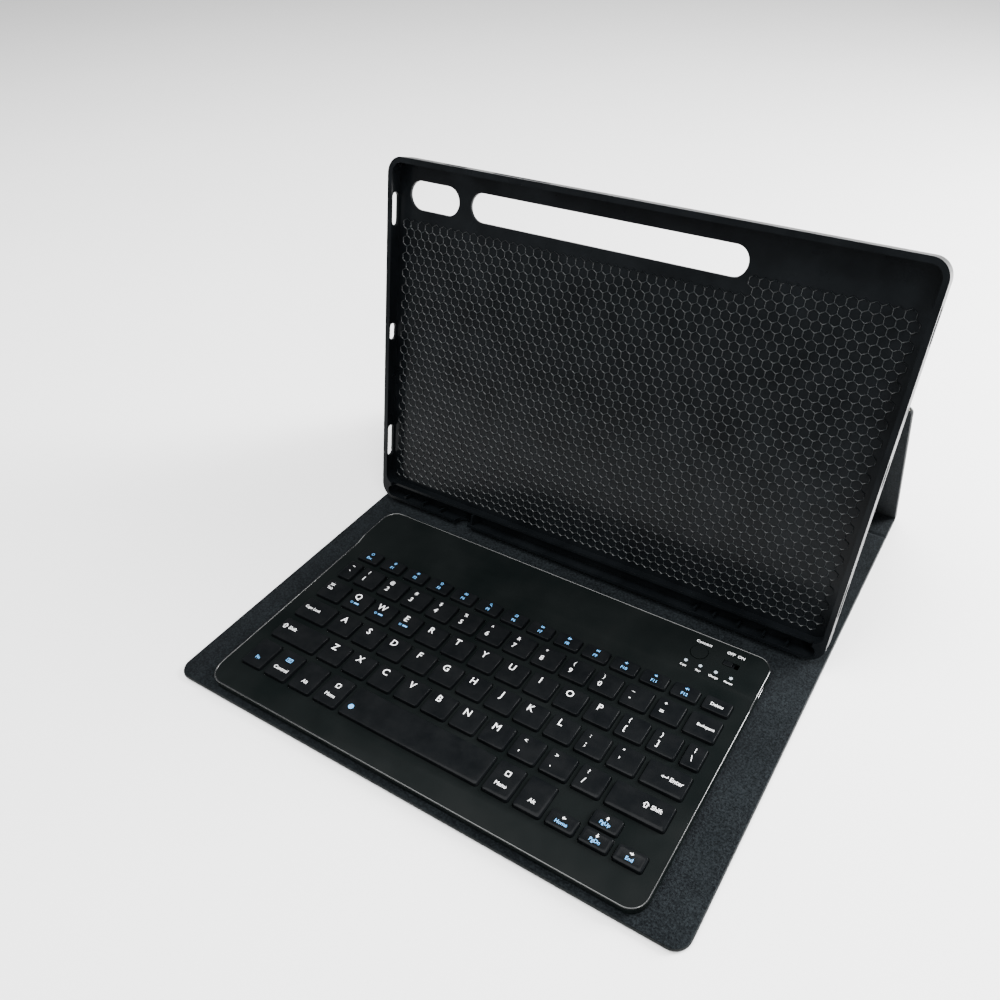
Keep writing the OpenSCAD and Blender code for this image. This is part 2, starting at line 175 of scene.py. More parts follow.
def cut_grid(bm, axis, places):
    """Adds edge loops where bm meets planes across axis at the given places."""
    normal = Vector((0, 0, 0))
    normal[axis] = 1
    for place in places:
        point = normal * place
        geometry = bm.verts[:] + bm.edges[:] + bm.faces[:]
        bmesh.ops.bisect_plane(bm, geom=geometry, plane_co=point, plane_no=normal)


def spread(low, high, step):
    count = max(1, round((high - low) / step))
    return [low + (high - low) * i / count for i in range(1, count)]


def place(bm, origin, y_axis, z_axis):
    """Moves bm from local axes to the frame: local Y along y_axis, local Z along z_axis."""
    x_axis = y_axis.cross(z_axis)
    turn = Matrix((x_axis, y_axis, z_axis)).transposed().to_4x4()
    bm.transform(Matrix.Translation(origin) @ turn)


def smooth_step(t):
    t = min(1, max(0, t))
    return t * t * (3 - 2 * t)


# ---------- materials ----------
class Nodes:
    """A small builder for one procedural material."""

    def __init__(self, name):
        self.material = bpy.data.materials.new(name)
        self.material.use_nodes = True
        self.tree = self.material.node_tree
        self.shader = self.tree.nodes["Principled BSDF"]
        self.position = self.add("ShaderNodeTexCoord").outputs["Object"]

    def add(self, kind, **values):
        node = self.tree.nodes.new(kind)
        for key, value in values.items():
            setattr(node, key, value)
        return node

    def link(self, source, target):
        self.tree.links.new(source, target)

    def set(self, **values):
        for key, value in values.items():
            self.shader.inputs[key.replace("_", " ")].default_value = value

    def noise(self, size, detail=4.0, rough=0.6, stretch=(1, 1, 1)):
        mapping = self.add("ShaderNodeMapping")
        mapping.inputs["Scale"].default_value = stretch
        self.link(self.position, mapping.inputs["Vector"])
        node = self.add("ShaderNodeTexNoise")
        node.inputs["Scale"].default_value = 1 / size
        node.inputs["Detail"].default_value = detail
        node.inputs["Roughness"].default_value = rough
        self.link(mapping.outputs["Vector"], node.inputs["Vector"])
        return node.outputs["Fac"]

    def cells(self, size, feature="DISTANCE_TO_EDGE"):
        node = self.add("ShaderNodeTexVoronoi", feature=feature)
        node.inputs["Scale"].default_value = 1 / size
        self.link(self.position, node.inputs["Vector"])
        return node.outputs["Distance"]

    def ramp(self, source, stops):
        node = self.add("ShaderNodeValToRGB")
        while len(node.color_ramp.elements) < len(stops):
            node.color_ramp.elements.new(0.5)
        for element, (at, colour) in zip(node.color_ramp.elements, stops):
            element.position = at
            element.color = (*colour, 1)
        self.link(source, node.inputs["Fac"])
        return node.outputs["Color"]

    def range(self, source, low, high):
        node = self.add("ShaderNodeMapRange")
        node.inputs["To Min"].default_value = low
        node.inputs["To Max"].default_value = high
        self.link(source, node.inputs["Value"])
        return node.outputs["Result"]

    def multiply(self, a, b):
        node = self.add("ShaderNodeMath", operation="MULTIPLY")
        self.link(a, node.inputs[0])
        self.link(b, node.inputs[1])
        return node.outputs["Value"]

    def sum(self, a, b):
        node = self.add("ShaderNodeMath", operation="ADD")
        self.link(a, node.inputs[0])
        self.link(b, node.inputs[1])
        return node.outputs["Value"]

    def colour(self, source):
        self.link(source, self.shader.inputs["Base Color"])

    def roughness(self, source):
        self.link(source, self.shader.inputs["Roughness"])

    def bump(self, source, depth, strength=1.0):
        node = self.add("ShaderNodeBump")
        node.inputs["Distance"].default_value = depth
        node.inputs["Strength"].default_value = strength
        self.link(source, node.inputs["Height"])
        self.link(node.outputs["Normal"], self.shader.inputs["Normal"])


def leather():
    """Black synthetic leather: small pebbled grain, satin coat, faint wear in the colour."""
    m = Nodes("leather_black")
    grain = m.sum(m.range(m.cells(1.5 * MM), 0, 0.8), m.range(m.noise(2.6 * MM, 5), 0, 0.5))
    m.colour(m.ramp(m.noise(1.4 * MM, 3), [(0.3, (0.003, 0.004, 0.004)), (0.75, (0.010, 0.012, 0.012))]))
    m.roughness(m.range(m.noise(3 * MM), 0.42, 0.56))
    m.bump(grain, 0.35 * MM, 0.9)
    m.set(Specular_IOR_Level=0.12)
    return m.material


def suede():
    """Black microfibre lining: speckled nap with soft sheen."""
    m = Nodes("lining_black")
    nap = m.noise(0.9 * MM, 7, 0.85)
    m.colour(m.ramp(m.multiply(nap, m.range(m.noise(40 * MM, 3), 0.85, 1.1)),
                    [(0.42, (0.001, 0.0015, 0.002)), (0.62, (0.012, 0.015, 0.017))]))
    m.roughness(m.range(m.noise(9 * MM), 0.82, 0.96))
    m.bump(nap, 0.3 * MM, 0.8)
    m.set(Sheen_Weight=0.01, Sheen_Roughness=0.5, Specular_IOR_Level=0.05)
    return m.material


def tray_rubber():
    """Black moulded tray: satin, with a fine tool texture and slight flow marks."""
    m = Nodes("tray_black")
    m.colour(m.ramp(m.noise(20 * MM, 3), [(0.3, (0.002, 0.0025, 0.003)), (0.8, (0.005, 0.006, 0.007))]))
    m.roughness(m.range(m.noise(14 * MM, 4), 0.22, 0.36))
    m.bump(m.noise(0.5 * MM, 3), 0.02 * MM, 0.4)
    m.set(Specular_IOR_Level=0.05, Coat_Weight=0.06, Coat_Roughness=0.12)
    return m.material


def polished_rib_painted_highlight():
    """Crests of the honeycomb: the same rubber, polished by the mould, with a colour a little lighter than
    the tray's as a painted highlight on the crests.
    """
    m = Nodes("tray_rib_painted_highlight")
    # painted highlight: the crests' colour is lighter than the tray rubber's, standing in for the light the
    # ridges catch
    m.colour(m.ramp(m.noise(6 * MM, 3), [(0.3, (0.003, 0.004, 0.005)), (0.8, (0.007, 0.010, 0.011))]))
    m.roughness(m.range(m.noise(4 * MM, 4), 0.2, 0.36))
    m.set(Specular_IOR_Level=0.3)
    return m.material


def polished_bead():
    """The housing's edge bead: the same plastic with a gloss finish."""
    m = Nodes("shell_bead")
    m.colour(m.ramp(m.noise(8 * MM, 3), [(0.3, (0.003, 0.004, 0.004)), (0.8, (0.007, 0.008, 0.009))]))
    m.roughness(m.range(m.noise(5 * MM, 4), 0.12, 0.2))
    m.set(Specular_IOR_Level=0.5, Coat_Weight=0.5, Coat_Roughness=0.1)
    return m.material


def shell_plastic():
    """Keyboard housing: black plastic with a fine spark-eroded surface."""
    m = Nodes("shell_black")
    m.colour(m.ramp(m.noise(30 * MM, 2), [(0.3, (0.002, 0.003, 0.003)), (0.8, (0.005, 0.006, 0.006))]))
    m.roughness(m.range(m.noise(3 * MM, 5), 0.34, 0.46))
    m.bump(m.noise(0.35 * MM, 2), 0.015 * MM, 0.5)
    m.set(Specular_IOR_Level=0.01, Coat_Weight=0.02, Coat_Roughness=0.14)
    return m.material


def key_plastic():
    """Keycaps: black satin plastic, with roughness that varies a little at random."""
    m = Nodes("key_black")
    m.colour(m.ramp(m.noise(10 * MM, 3), [(0.3, (0.002, 0.0025, 0.003)), (0.8, (0.005, 0.0055, 0.006))]))
    m.roughness(m.range(m.noise(6 * MM, 4), 0.30, 0.42))
    m.bump(m.noise(0.3 * MM, 2), 0.012 * MM, 0.4)
    m.set(Specular_IOR_Level=0.01, Coat_Weight=0.06, Coat_Roughness=0.1)
    return m.material


def paint(name, colour):
    """Pad-printed ink, a little uneven."""
    m = Nodes(name)
    dark = tuple(c * 0.8 for c in colour)
    m.colour(m.ramp(m.noise(1.5 * MM, 3), [(0.25, dark), (0.6, colour)]))
    m.roughness(m.range(m.noise(2 * MM), 0.45, 0.6))
    return m.material


def metal(name, colour, rough, stretch=(1, 1, 1)):
    m = Nodes(name)
    dark = tuple(c * 0.75 for c in colour)
    m.colour(m.ramp(m.noise(4 * MM, 4, 0.6, stretch), [(0.3, dark), (0.75, colour)]))
    m.roughness(m.range(m.noise(1.5 * MM, 4, 0.6, stretch), rough * 0.8, rough * 1.3))
    m.set(Metallic=1.0)
    return m.material


def board_card():
    m = Nodes("panel_core")
    fibres = m.noise(1.2 * MM, 6, 0.7, (1, 3, 1))
    m.colour(m.ramp(fibres, [(0.3, (0.25, 0.21, 0.16)), (0.75, (0.42, 0.37, 0.29))]))
    m.roughness(m.range(fibres, 0.8, 0.95))
    m.bump(fibres, 0.1 * MM, 0.5)
    return m.material


def solder_mask():
    m = Nodes("circuit_green")
    tracks = m.add("ShaderNodeTexBrick")
    tracks.inputs["Scale"].default_value = 220
    tracks.inputs["Color1"].default_value = (0.02, 0.14, 0.06, 1)
    tracks.inputs["Color2"].default_value = (0.03, 0.20, 0.08, 1)
    tracks.inputs["Mortar"].default_value = (0.05, 0.30, 0.12, 1)
    m.link(m.position, tracks.inputs["Vector"])
    m.colour(tracks.outputs["Color"])
    m.roughness(m.range(m.noise(3 * MM), 0.3, 0.45))
    return m.material


def light_pipe():
    m = Nodes("light_pipe")
    m.colour(m.ramp(m.noise(1 * MM), [(0.3, (0.55, 0.65, 0.75)), (0.8, (0.8, 0.88, 0.95))]))
    m.roughness(m.range(m.noise(1 * MM), 0.15, 0.3))
    m.set(Transmission_Weight=0.5, IOR=1.5)
    return m.material


def tape_film():
    m = Nodes("tape_white")
    m.colour(m.ramp(m.noise(2 * MM), [(0.3, (0.6, 0.6, 0.56)), (0.8, (0.78, 0.78, 0.74))]))
    m.roughness(m.range(m.noise(2 * MM), 0.4, 0.55))
    return m.material


LOOKS = {
    "leather_black": leather(),
    "lining_black": suede(),
    "tray_black": tray_rubber(),
    "shell_black": shell_plastic(),
    "key_black": key_plastic(),
    "panel_core": board_card(),
    "magnet_nickel": metal("magnet_nickel", (0.78, 0.77, 0.75), 0.2),
    "tape_white": tape_film(),
    "sheet_steel": metal("sheet_steel", (0.6, 0.6, 0.61), 0.35, (1, 12, 1)),
    "battery_foil": metal("battery_foil", (0.72, 0.72, 0.74), 0.45),
    "circuit_green": solder_mask(),
    "light_pipe": light_pipe(),
    "steel": metal("steel", (0.58, 0.58, 0.6), 0.28, (8, 1, 1)),
}
RIB_LOOK = polished_rib_painted_highlight()
BEAD_LOOK = polished_bead()
INK_WHITE = paint("ink_white", (0.95, 0.95, 0.96))
INK_BLUE = paint("ink_blue", (0.12, 0.42, 0.85))


# ---------- CAD nodes keep their shape and get a material and softened edges ----------
SOFT_EDGE = {"tray_shell": 0.45, "keyboard_top": 0.35, "keyboard_bottom": 0.3, "connect_button": 0.3,
             "power_switch": 0.25, "charging_port": 0.08}


def dress_cad_nodes():
    slots = {part["node"]: part["material_slot"] for part in record["subparts"]}
    for name, obj in nodes.items():
        obj.data.materials.clear()
        obj.data.materials.append(LOOKS[slots[name]])
        if name not in SOFT_EDGE:
            continue
        merge = obj.modifiers.new("merge", "WELD")
        merge.merge_threshold = 0.001 * MM
        flatten = obj.modifiers.new("flatten", "DECIMATE")
        flatten.decimate_type = "DISSOLVE"
        flatten.angle_limit = math.radians(1)
        soften = obj.modifiers.new("soften", "BEVEL")
        soften.width = SOFT_EDGE[name] * MM
        soften.segments = 3
        soften.limit_method = "ANGLE"
        soften.angle_limit = math.radians(35)
        soften.use_clamp_overlap = True
        even = obj.modifiers.new("even", "WEIGHTED_NORMAL")
        even.keep_sharp = True
        for face in obj.data.polygons:
            face.use_smooth = True


# ---------- cover ----------
LINING_T = 0.7 * MM
LINING_INSET = 0.5 * MM
LEATHER_EDGE = 1.1 * MM
BORDER = 5 * MM
BORDER_R = 5 * MM
EMBOSS = 0.3 * MM
SETBACK = 1.6 * MM
PROP_START = 0.3 * MM
CREASE_W = 4 * MM
HAIR = 0.03 * MM


def press_crease(bm, centre, upper, lower):
    """Presses a crease across the panel: the lining side goes down by upper, the outside up by lower."""
    for vert in bm.verts:
        near = 1 - smooth_step(abs(vert.co.y - centre) / (CREASE_W / 2))
        if vert.co.z > cover_t / 2:
            vert.co.z -= near * upper
        else:
            vert.co.z += near * lower


def panel(name, body, outline, origin, y_axis, z_axis, creases, skin, lining=None):
    """One stiff cover panel: a leather body and a suede lining, both riding on body."""
    x0, y0, x1, y1, radii = outline
    grid_y = spread(y0, y1, 12 * MM)
    for crease in creases:
        grid_y += [crease + CREASE_W * k / 8 for k in range(-5, 6)]
    inner = (x0 + LINING_INSET, y0 + LINING_INSET, x1 - LINING_INSET, y1 - LINING_INSET,
             [r - LINING_INSET for r in radii])
    layers = (("leather", outline, 0, cover_t - 0.45 * MM, LEATHER_EDGE, EMBOSS, "leather_black", skin),
              ("lining", inner, cover_t - LINING_T, cover_t, 0.32 * MM, 0, "lining_black", lining))
    for part, shape, low, high, edge, emboss, look, node in layers:
        bm = plate_bmesh(shape, low, high, edge, emboss)
        cut_grid(bm, 0, spread(x0, x1, 12 * MM))
        cut_grid(bm, 1, grid_y)
        for crease in creases:
            press_crease(bm, crease, 0.7 * MM, 0.4 * MM if part == "leather" else 0)
        place(bm, origin - z_axis * cover_t, y_axis, z_axis)
        piece = object_from(bm, f"{name}_panel_{part}", LOOKS[look])
        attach(piece, body)
        if node:
            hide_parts(node)


def fold_band(name, bodies, path, look, start, end, half_width):
    """A strip across a fold: path is a closed outline in (y, z), swept across the cover."""
    bm = bmesh.new()
    xs = [-half_width] + spread(-half_width, half_width, 12 * MM) + [half_width]
    rings = [[bm.verts.new((x, y, z)) for y, z in path] for x in xs]
    for left, right in zip(rings, rings[1:]):
        for i in range(len(path)):
            j = (i + 1) % len(path)
            bm.faces.new((left[i], left[j], right[j], right[i]))
    bm.faces.new(list(reversed(rings[0])))
    bm.faces.new(rings[-1])
    piece = object_from(bm, name, LOOKS[look], 60)
    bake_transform(piece)


def quad_curve(a, b, c, steps=12):
    """Points of the curve from a to c that leans towards b."""
    along = [i / steps for i in range(steps + 1)]
    points = [a * (1 - t) ** 2 + b * 2 * t * (1 - t) + c * t * t for t in along]
    return [(p.y, p.z) for p in points]


def turn_curve(centre, radius, before, after, reach, steps=16):
    """Straight in along before, an arc round centre at that radius, straight out along after.

    before and after are (direction along the panel away from the fold, outward normal).
    """
    points = [centre + before[0] * reach[0] + before[1] * radius]
    sweep = before[1].angle(after[1])
    for i in range(steps + 1):
        share = sweep * i / steps
        points.append(centre + (before[1] * math.sin(sweep - share) + after[1] * math.sin(share))
                      / math.sin(sweep) * radius)
    points.append(centre + after[0] * reach[1] + after[1] * radius)
    return [(p.y, p.z) for p in points]


def build_cover():
    up = Vector((0, 0, 1))
    back = Vector((0, 1, 0))
    spine_low, _ = corners("spine_board")
    front_r = 8 * MM
    small_r = 1.2 * MM
    prop_radii = [small_r, small_r, 6 * MM, 6 * MM]
    bond_radii = [small_r, small_r, 4 * MM, 4 * MM]
    bond_end = SETBACK + 33 * MM
    fold_y = prop_fold.y - base_low.y
    crease_y = spine_low.y - base_low.y - CREASE_W / 2
    panel("base", "base", (-half_w, 0, half_w, fold_y - SETBACK, [front_r, front_r, small_r, small_r]),
          Vector((0, base_low.y, cover_t)), back, up, [crease_y], "base_skin", "base_lining")
    panel("prop", "prop", (-half_w, PROP_START, half_w, prop_len - SETBACK, prop_radii),
          prop_fold, prop_axis, prop_normal, [], "prop_skin", "prop_lining")
    _, bond_high = corners("bond_skin")
    half_bond = bond_high.x
    panel("bond", "tray", (-half_bond, SETBACK, half_bond, bond_end, bond_radii),
          tray_fold, tray_up, tray_normal, [], "bond_skin")

    # rear fold: leather outside and lining inside, both turning round the hinge line
    before = (-back, -up)
    after = (prop_axis, -prop_normal)
    reach = (SETBACK + LEATHER_EDGE + 0.2 * MM, PROP_START + LEATHER_EDGE + 0.2 * MM)
    ends = (prop_fold - back * reach[0], prop_fold + prop_axis * reach[1])
    for part, outer_r, inner_r, inset in (("leather", cover_t - HAIR, 1.5 * MM, 0.15 * MM),
                                          ("lining", 1.7 * MM, HAIR, LINING_INSET)):
        outside = turn_curve(prop_fold, outer_r, before, after, reach)
        inside = turn_curve(prop_fold, inner_r, before, after, reach)
        fold_band(f"rear_fold_{part}", ("base", "prop"), outside + inside[::-1], f"{part}_black",
                  *ends, half_w - inset)

    # upper fold: a leather valley between the prop panel and the bonded panel
    reach = SETBACK + LEATHER_EDGE + 0.3 * MM
    outward = (prop_normal + tray_normal).normalized()
    prop_tip = tray_fold - prop_axis * reach - prop_normal * (cover_t - HAIR)
    bond_tip = tray_fold + tray_up * reach - tray_normal * (cover_t - HAIR)
    valley = tray_fold - outward * 1.4 * MM
    skin_t = 1.3 * MM
    outside = quad_curve(prop_tip, valley, bond_tip)
    inside = quad_curve(bond_tip + tray_normal * skin_t, valley + outward * MM,
                        prop_tip + prop_normal * skin_t)
    fold_band("upper_fold_leather", ("prop", "tray"), outside + inside, "leather_black",
              tray_fold - prop_axis * reach, tray_fold + tray_up * reach, half_bond - 0.3 * MM)


# ---------- tray ----------
HEX_PITCH = 5 * MM
HEX_RISE = 0.45 * MM
HEX_LINE = 0.36 * MM
TRAY_FLOOR_DEPTH = 8.4 * MM


def tray_point(u, v, w):
    """A point in tray coordinates: u from its middle, v up from its foot, w out of its rim."""
    foot = Vector(seat["pos_m"]) - tray_up * 90 * MM + tray_normal * TRAY_FLOOR_DEPTH
    return foot + Vector((u, 0, 0)) + tray_up * v + tray_normal * w


def clear_of_windows(u, v):
    """True where the tray's back is solid at least a border away from its windows."""
    top = 168.5 * MM if u < 62 * MM else 176 * MM
    return v < top


def build_honeycomb():
    """Raised honeycomb ribs over the tray's inner back."""
    bm = bmesh.new()
    row_step = HEX_PITCH * math.sqrt(3) / 2
    ring_r = HEX_PITCH / math.sqrt(3)
    shoulder_r = ring_r - HEX_LINE * 0.45
    foot_r = ring_r - HEX_LINE
    low_v = 12.5 * MM
    half_u = 139.5 * MM
    row = 0
    v = low_v + ring_r
    sink = 0.15 * MM
    while v < 186 * MM:
        u = -half_u + (HEX_PITCH / 2 if row % 2 else 0) + HEX_PITCH / 2
        while u < half_u - HEX_PITCH / 2:
            if clear_of_windows(u, v + ring_r):
                outer, inner, floor = [], [], []
                for k in range(6):
                    a = math.radians(30 + 60 * k)
                    c, s = math.cos(a), math.sin(a)
                    outer.append(bm.verts.new((u + ring_r * c, v + ring_r * s, HEX_RISE)))
                    inner.append(bm.verts.new((u + shoulder_r * c, v + shoulder_r * s, HEX_RISE * 0.8)))
                    floor.append(bm.verts.new((u + foot_r * c, v + foot_r * s, -sink)))
                for k in range(6):
                    n = (k + 1) % 6
                    bm.faces.new((outer[k], outer[n], inner[n], inner[k]))
                    bm.faces.new((inner[k], inner[n], floor[n], floor[k]))
            u += HEX_PITCH
        v += row_step
        row += 1
    bmesh.ops.remove_doubles(bm, verts=bm.verts, dist=0.02 * MM)
    # close the sheet's outer border down to the tray floor
    nearly_top = HEX_RISE * 0.98
    border = [e for e in bm.edges if len(e.link_faces) == 1 and all(vt.co.z > nearly_top for vt in e.verts)]
    made = bmesh.ops.extrude_edge_only(bm, edges=border)
    for item in made["geom"]:
        if isinstance(item, bmesh.types.BMVert):
            item.co.z = -sink
    origin = tray_point(0, 0, -TRAY_FLOOR_DEPTH)
    place(bm, origin, tray_up, tray_normal)
    piece = object_from(bm, "honeycomb_ribs", RIB_LOOK, 75)
    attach(piece, "tray")
    return piece


# ---------- keys ----------
CAP_TOP_INSET = 0.3 * MM
CAP_EDGE = 0.32 * MM
CAP_CORNER = 1.3 * MM
CAP_DISH = 0.05 * MM


def key_boxes(node):
    """Plan boxes of the separate caps in a CAD key node, front row first, then left to right."""
    bm = bmesh.new()
    bm.from_mesh(nodes[node].data)
    bmesh.ops.remove_doubles(bm, verts=bm.verts, dist=0.001 * MM)
    todo = set(bm.verts)
    boxes = []
    while todo:
        stack = [todo.pop()]
        island = []
        while stack:
            vert = stack.pop()
            island.append(vert.co.copy())
            for edge in vert.link_edges:
                other = edge.other_vert(vert)
                if other in todo:
                    todo.remove(other)
                    stack.append(other)
        top = max(c.z for c in island)
        rim = [c for c in island if c.z > top - 0.01 * MM]
        boxes.append((min(c.x for c in rim), min(c.y for c in rim), max(c.x for c in rim),
                      max(c.y for c in rim), top, min(c.z for c in island)))
    bm.free()
    return sorted(boxes, key=lambda b: (round(b[1] / MM), b[0]))


def keycap(bm, box):
    """A tapered cap with rounded edges and a barely dished top."""
    x0, y0, x1, y1, top, bottom = box
    levels = [(0, bottom), (0, top - 1.5 * MM), (CAP_TOP_INSET * 0.8, top - CAP_EDGE)]
    for i in range(1, 5):
        a = math.pi / 2 * i / 4
        inset = CAP_TOP_INSET * 0.8 + CAP_EDGE * (1 - math.cos(a))
        levels.append((inset, top - CAP_EDGE * (1 - math.sin(a))))
    rings = []
    for inset, z in levels:
        r = max(0.6 * MM, CAP_CORNER - inset * 0.5)
        loop = rounded_loop(x0 + inset, y0 + inset, x1 - inset, y1 - inset, [r] * 4, 5)
        rings.append([bm.verts.new((x, y, z)) for x, y in loop])
    short = min(x1 - x0, y1 - y0) / 2
    for share, drop in ((0.3, 0.5), (0.62, 0.9)):
        inset = levels[-1][0] + (short - levels[-1][0]) * share
        r = max(0.35 * MM, CAP_CORNER * (1 - share))
        loop = rounded_loop(x0 + inset, y0 + inset, x1 - inset, y1 - inset, [r] * 4, 5)
        rings.append([bm.verts.new((x, y, top - CAP_DISH * drop)) for x, y in loop])
    for low, high in zip(rings, rings[1:]):
        for i in range(len(low)):
            j = (i + 1) % len(low)
            bm.faces.new((low[i], low[j], high[j], high[i]))
    bm.faces.new(list(reversed(rings[0])))
    bm.faces.new(rings[-1])


# ---------- legends ----------
def text_mesh(words, height):
    """Flat ink in the shape of words, lower left near the origin, with capitals of that height."""
    curve = bpy.data.curves.new("words", "FONT")
    curve.body = words
    curve.size = height / 0.69
    curve.extrude = INK_T / 2
    curve.resolution_u = 3
    curve.offset = height * 0.008
    holder = link(bpy.data.objects.new("words", curve))
    bpy.context.view_layer.update()
    mesh = bpy.data.meshes.new_from_object(holder.evaluated_get(bpy.context.evaluated_depsgraph_get()))
    bpy.data.objects.remove(holder)
    bpy.data.curves.remove(curve)
    bm = bmesh.new()
    bm.from_mesh(mesh)
    bpy.data.meshes.remove(mesh)
    bmesh.ops.remove_doubles(bm, verts=bm.verts, dist=0.0005 * MM)
    return bm


INK_T = 0.03 * MM


def add_text(target, words, x, y, z, height, anchor="left"):
    """Adds words to the bmesh target; (x, y) is the lower left, centre or right of the words."""
    bm = text_mesh(words, height)
    if bm.verts:
        low = min(v.co.x for v in bm.verts)
        high = max(v.co.x for v in bm.verts)
        shift = {"left": -low, "centre": -(low + high) / 2, "right": -high}[anchor]
        bmesh.ops.translate(bm, verts=bm.verts, vec=(x + shift, y, z + INK_T / 2))
        mesh = bpy.data.meshes.new("part")
        bm.to_mesh(mesh)
        target.from_mesh(mesh)
        bpy.data.meshes.remove(mesh)
    bm.free()


def add_shape(target, loops, x, y, z, size):
    """Adds flat ink polygons; each loop is in units of size around (x, y)."""
    for loop in loops:
        low = [target.verts.new((x + a * size, y + b * size, z)) for a, b in loop]
        high = [target.verts.new((x + a * size, y + b * size, z + INK_T)) for a, b in loop]
        target.faces.new(list(reversed(low)))
        target.faces.new(high)
        for i in range(len(loop)):
            j = (i + 1) % len(loop)
            target.faces.new((low[i], low[j], high[j], high[i]))


def bar(x0, y0, x1, y1, w=0.14):
    """A straight stroke as a polygon."""
    d = Vector((x1 - x0, y1 - y0)).normalized()
    n = Vector((-d.y, d.x)) * w / 2
    return [(x0 - n.x, y0 - n.y), (x1 - n.x, y1 - n.y), (x1 + n.x, y1 + n.y), (x0 + n.x, y0 + n.y)]


def disc(x, y, r, steps=16):
    return [(x + r * math.cos(2 * math.pi * i / steps), y + r * math.sin(2 * math.pi * i / steps))
            for i in range(steps)]


ICONS = {
    "left": [[(-0.5, 0), (0, 0.4), (0, 0.12), (0.5, 0.12), (0.5, -0.12), (0, -0.12), (0, -0.4)]],
    "right": [[(0.5, 0), (0, -0.4), (0, -0.12), (-0.5, -0.12), (-0.5, 0.12), (0, 0.12), (0, 0.4)]],
    "up": [[(0, 0.5), (-0.4, 0), (-0.12, 0), (-0.12, -0.5), (0.12, -0.5), (0.12, 0), (0.4, 0)]],
    "down": [[(0, -0.5), (0.4, 0), (0.12, 0), (0.12, 0.5), (-0.12, 0.5), (-0.12, 0), (-0.4, 0)]],
    "shift": [bar(0, 0.55, -0.5, 0.02), bar(0, 0.55, 0.5, 0.02), bar(-0.5, 0.05, -0.2, 0.05),
              bar(0.5, 0.05, 0.2, 0.05), bar(-0.22, 0.08, -0.22, -0.5), bar(0.22, 0.08, 0.22, -0.5),
              bar(-0.25, -0.45, 0.25, -0.45)],
    "enter": [bar(0.6, 0.4, 0.6, -0.06), bar(0.62, 0, -0.6, 0), [(-0.75, 0), (-0.25, -0.3), (-0.25, 0.3)]],
    "tab": [bar(-0.6, 0.2, 0.4, 0.2), [(0.6, 0.2), (0.3, 0.38), (0.3, 0.02)], bar(0.6, -0.2, -0.4, -0.2),
            [(-0.6, -0.2), (-0.3, -0.38), (-0.3, -0.02)]],
    "square": [bar(-0.4, -0.35, 0.4, -0.35), bar(-0.4, 0.35, 0.4, 0.35), bar(-0.35, -0.4, -0.35, 0.4),
               bar(0.35, -0.4, 0.35, 0.4)],
    "sun": [disc(0, 0, 0.22)] + [bar(0.32 * math.cos(a), 0.32 * math.sin(a), 0.5 * math.cos(a),
                                     0.5 * math.sin(a), 0.1)
                                 for a in (math.pi * k / 4 for k in range(8))],
    "ring": [bar(math.cos(a) * 0.42, math.sin(a) * 0.42, math.cos(a + math.pi / 6) * 0.42,
                 math.sin(a + math.pi / 6) * 0.42, 0.12) for a in (math.pi * k / 6 for k in range(12))],
    "play": [[(0.5, 0), (-0.1, 0.4), (-0.1, -0.4)],
             bar(-0.3, -0.38, -0.3, 0.38), bar(-0.5, -0.38, -0.5, 0.38)],
    "next": [[(0.4, 0), (0, 0.35), (0, -0.35)], [(0, 0), (-0.4, 0.35), (-0.4, -0.35)],
             bar(0.48, -0.35, 0.48, 0.35)],
    "back": [[(-0.4, 0), (0, -0.35), (0, 0.35)], [(0, 0), (0.4, -0.35), (0.4, 0.35)],
             bar(-0.48, -0.35, -0.48, 0.35)],
    "sound": [[(-0.5, -0.15), (-0.25, -0.15), (0.05, -0.42), (0.05, 0.42), (-0.25, 0.15), (-0.5, 0.15)],
              bar(0.25, -0.2, 0.25, 0.2, 0.1)],
    "louder": [[(-0.5, -0.15), (-0.25, -0.15), (0.05, -0.42), (0.05, 0.42), (-0.25, 0.15), (-0.5, 0.15)],
               bar(0.25, -0.2, 0.25, 0.2, 0.1), bar(0.45, -0.34, 0.45, 0.34, 0.1)],
    "find": [bar(math.cos(a) * 0.3 - 0.1, math.sin(a) * 0.3 + 0.1, math.cos(a + math.pi / 4) * 0.3 - 0.1,
                 math.sin(a + math.pi / 4) * 0.3 + 0.1, 0.1) for a in (math.pi * k / 4 for k in range(8))]
            + [bar(0.12, -0.12, 0.5, -0.5, 0.14)],
    "lock": [bar(-0.35, -0.45, 0.35, -0.45, 0.1), bar(-0.35, 0.1, 0.35, 0.1, 0.1),
             bar(-0.33, -0.45, -0.33, 0.1, 0.1), bar(0.33, -0.45, 0.33, 0.1, 0.1),
             bar(-0.2, 0.1, -0.2, 0.42, 0.1), bar(0.2, 0.1, 0.2, 0.42, 0.1),
             bar(-0.22, 0.42, 0.22, 0.42, 0.1)],
    "keys": [bar(-0.5, -0.3, 0.5, -0.3, 0.1), bar(-0.5, 0.3, 0.5, 0.3, 0.1),
             bar(-0.5, -0.3, -0.5, 0.3, 0.1), bar(0.5, -0.3, 0.5, 0.3, 0.1),
             bar(-0.25, -0.1, 0.25, -0.1, 0.1), bar(-0.3, 0.1, 0.3, 0.1, 0.08)],
}

LETTER_H = 3.7 * MM
SMALL_H = 1.7 * MM
TINY_H = 1.2 * MM

FUNCTION_ICONS = ["ring", "sun", "sun", "square", "keys", "find", "square", "back", "play", "next", "sound",
                  "sound", "louder", "lock"]
FUNCTION_WORDS = ["Esc"] + [f"F{i}" for i in range(1, 13)] + ["Delete"]
NUMBER_WORDS = list(zip("~!@#$%^&*()_+", "`1234567890-="))
SYMBOL_WORDS = list(zip("<>?:\"{}|", ",./;'[]\\"))
MODIFIER_WORDS = ["Fn", "Control", "Alt", "Menu", "Menu", "Alt"]
BLUE_LETTERS = {"q", "w", "e"}


